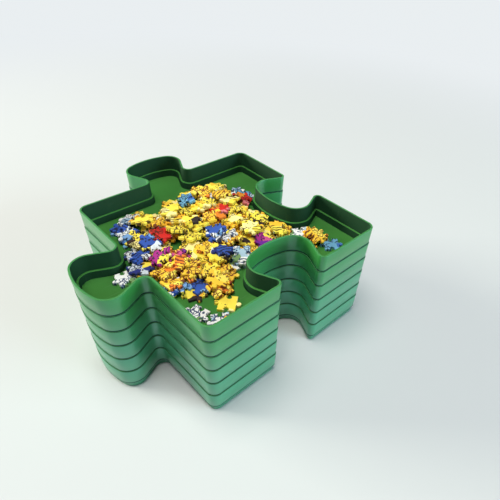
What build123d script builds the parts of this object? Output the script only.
from build123d import *

import math
import os

os.makedirs("parts", exist_ok=True)

# Six puzzle-shaped sorting trays, stacked foot in rim, with loose jigsaw pieces heaped in the top one.
# Lengths are millimetres. The origin is the middle of the square body on the bottom face, and +Z is up.
# Knobs stand out of the left (-X) and back (+Y) flanks. Sockets are let into the front and right ones.

# Plan of a tray at its rim
body_side = 159.0
corner_radius = 7.0
knob_reach = 37.0
knob_width = 50.0
knob_corner_radius = 12.0
knob_crown = 2.2
neck_width = 36.8
neck_fillet_radius = 4.8
joint_clearance = 0.5

# Section of a tray
tray_height = 20.0
foot_height = 6.0
wall = 1.6
floor_thickness = 1.6
nest_clearance = 0.4
wall_draft_degrees = 1.5

# How many trays stand on each other
tray_count = 6

# Jigsaw pieces, cut from thick board
board_thickness = 2.0
piece_side = 13.4
tab_reach = 3.5
tab_neck = 2.8
tab_head = 4.7
piece_gap = 0.6
piece_turn_degrees = 137.5
heap_rows = 4

# Where a tab is widest, as a share of its reach, and how wide it is at its tip, as a share of its head
tab_widest_share = 0.55
tab_tip_share = 0.6

# Chords that stand for each bend of a tray's plan
fillet_chord_count = 4
head_chord_count = 5
crown_chord_count = 4
corner_chord_count = 3

# One overrun serves all cuts
overrun = 1.0

# Colours of the pieces, row by row from the back left, and layer by layer from the floor up
heap_colours = (
    "blue", "yellow", "orange", "yellow",
    "red", "yellow", "yellow", "sky",
    "magenta", "orange", "yellow", "navy",
    "yellow", "yellow", "white", "orange",
    "yellow", "orange", "yellow",
    "red", "yellow", "sky",
    "orange", "yellow", "yellow",
    "yellow", "orange",
    "magenta", "yellow",
    "yellow",
)
stray_colours = ("orange", "blue", "white")

side_half = body_side / 2
stack_pitch = tray_height - foot_height
foot_inset = wall + nest_clearance
ledge_height = foot_height + floor_thickness


def draft_run(height):
    """How far a drafted wall draws in over a height."""
    return height * math.tan(math.radians(wall_draft_degrees))


def bend(centre, radius, start, sweep, chords):
    """Points along an arc, from a start angle through a sweep, both in degrees."""
    turns = [math.radians(start + sweep * step / chords) for step in range(chords + 1)]
    return [(centre[0] + radius * math.cos(t), centre[1] + radius * math.sin(t)) for t in turns]


def tab_profile(is_socket, grow):
    """Points of a knob, or of the socket for a neighbour's knob, from right to left.

    The flank lies along X and outwards is +Y. A socket is a knob's shape grown by the joint clearance and
    set back by it, so two trays side by side keep that gap everywhere. grow lets the tray's wall out.
    """
    clearance = joint_clearance if is_socket else 0
    swell = clearance - grow if is_socket else grow
    corner = min(knob_corner_radius, (knob_reach - knob_crown) / 2 - neck_fillet_radius)
    crown_radius = ((knob_width / 2 - corner) ** 2 + knob_crown**2) / (2 * knob_crown) + corner
    root = (neck_width / 2 + neck_fillet_radius, neck_fillet_radius - clearance)
    head = (knob_width / 2 - corner, knob_reach - knob_crown - corner - clearance)
    top = (0, knob_reach - crown_radius - clearance)

    # The neck's side is the inner tangent of the root fillet and the head's corner
    across = (root[0] - head[0], root[1] - head[1])
    reach_share = (neck_fillet_radius + corner) / math.hypot(*across)
    lean = math.degrees(math.atan2(across[1], across[0]) + math.acos(reach_share))
    crown_start = math.degrees(math.atan2(head[1] - top[1], head[0] - top[0]))

    right = bend(root, neck_fillet_radius - swell, 270, lean - 90, fillet_chord_count)
    right += bend(head, corner + swell, lean, crown_start - lean, head_chord_count)
    crown = bend(top, crown_radius + swell, crown_start, 180 - 2 * crown_start, crown_chord_count)
    left = [(-x, y) for x, y in reversed(right)]
    points = right + crown[1:-1] + left
    return [(x, -y) for x, y in points] if is_socket else points


def outline(grow):
    """The tray's plan as a closed wire, let out by grow or drawn in by a negative one."""
    centre = side_half - corner_radius
    points = []
    for quarter, is_socket in enumerate((False, False, True, True)):
        side = [(x, y + side_half) for x, y in tab_profile(is_socket, grow)]
        side += bend((-centre, centre), corner_radius + grow, 90, 90, corner_chord_count)
        turn = math.radians(90 * quarter)
        points += [
            (x * math.cos(turn) - y * math.sin(turn), x * math.sin(turn) + y * math.cos(turn))
            for x, y in side
        ]
    return Wire.make_polygon(points, close=True)


def band(low, low_grow, high, high_grow):
    """The solid between two outlines at two heights."""
    low_face = Pos(0, 0, low) * Face(outline(low_grow))
    high_face = Pos(0, 0, high) * Face(outline(high_grow))
    return loft([low_face, high_face], ruled=True)


def make_tray():
    """One tray: a drafted wall ends in a shoulder, over a foot that drops into the rim of the tray below."""
    wall_band = band(foot_height, -draft_run(tray_height - foot_height), tray_height, 0)
    foot_band = band(0, -foot_inset - draft_run(foot_height), foot_height, -foot_inset)
    wall_hollow = band(
        ledge_height,
        -wall - draft_run(tray_height - ledge_height),
        tray_height + overrun,
        -wall + draft_run(overrun),
    )
    foot_hollow = band(
        floor_thickness,
        -foot_inset - wall - draft_run(foot_height - floor_thickness),
        ledge_height + overrun,
        -foot_inset - wall + draft_run(ledge_height + overrun - foot_height),
    )
    return wall_band + foot_band - wall_hollow - foot_hollow


def piece_outline(sides):
    """A jigsaw piece's plan. Each side is 1 for a tab, -1 for a slot and 0 for a straight edge."""
    half = piece_side / 2
    bulge = [
        (tab_neck / 2, 0),
        (tab_head / 2, tab_reach * tab_widest_share),
        (tab_head / 2 * tab_tip_share, tab_reach),
    ]
    points = []
    for quarter, way in enumerate(sides):
        side = [(half, half)]
        if way:
            side += [(x, half + way * y) for x, y in bulge]
            side += [(-x, half + way * y) for x, y in reversed(bulge)]
        turn = math.radians(90 * quarter)
        points += [
            (x * math.cos(turn) - y * math.sin(turn), x * math.sin(turn) + y * math.cos(turn))
            for x, y in side
        ]
    return Wire.make_polygon(points, close=True)


def make_piece(number, x, y, layer):
    """One loose piece, flat on the floor of the top tray or on the layer below it."""
    kinds = ((1, -1, 1, -1), (1, 1, -1, -1), (-1, 1, 1, 1), (1, -1, -1, 1))
    blank = extrude(Face(piece_outline(kinds[number % len(kinds)])), board_thickness, dir=(0, 0, 1))
    floor = (tray_count - 1) * stack_pitch + floor_thickness
    turn = piece_turn_degrees * number
    return Pos(x, y, floor + layer * board_thickness) * Rot(0, 0, turn) * blank


def heap_places():
    """Where the pieces of the heap lie: a block of rows, with one row and column less in each layer."""
    room = foot_inset + wall + draft_run(foot_height)
    radius = math.hypot(piece_side / 2 + tab_reach, tab_head / 2 * tab_tip_share)
    pitch = 2 * radius + piece_gap
    near = -(side_half - room - radius)
    far = side_half - knob_reach - room - radius
    middle = (near + far) / 2
    places = []
    for layer in range(heap_rows):
        count = heap_rows - layer
        steps = [(step - (count - 1) / 2) * pitch for step in range(count)]
        places += [(middle + x, -middle - y, layer) for y in steps for x in steps]
    corner = near + piece_gap
    strays = [(corner, corner, 0), (-corner, corner, 0), (-side_half - knob_reach / 4, 0, 0)]
    return places, strays


def make_heap():
    """Every loose piece by name."""
    places, strays = heap_places()
    named = [(heap_colours[i % len(heap_colours)], place) for i, place in enumerate(places)]
    named += list(zip(stray_colours, strays))
    pieces, used = {}, {}
    for number, (colour, place) in enumerate(named):
        used[colour] = used.get(colour, 0) + 1
        pieces[f"{colour}_piece_{used[colour]}"] = make_piece(number, *place)
    return pieces


tray = make_tray()
for number in range(tray_count):
    export_step(Pos(0, 0, number * stack_pitch) * tray, f"parts/tray_{number + 1}.step")
for name, piece in make_heap().items():
    export_step(piece, f"parts/{name}.step")
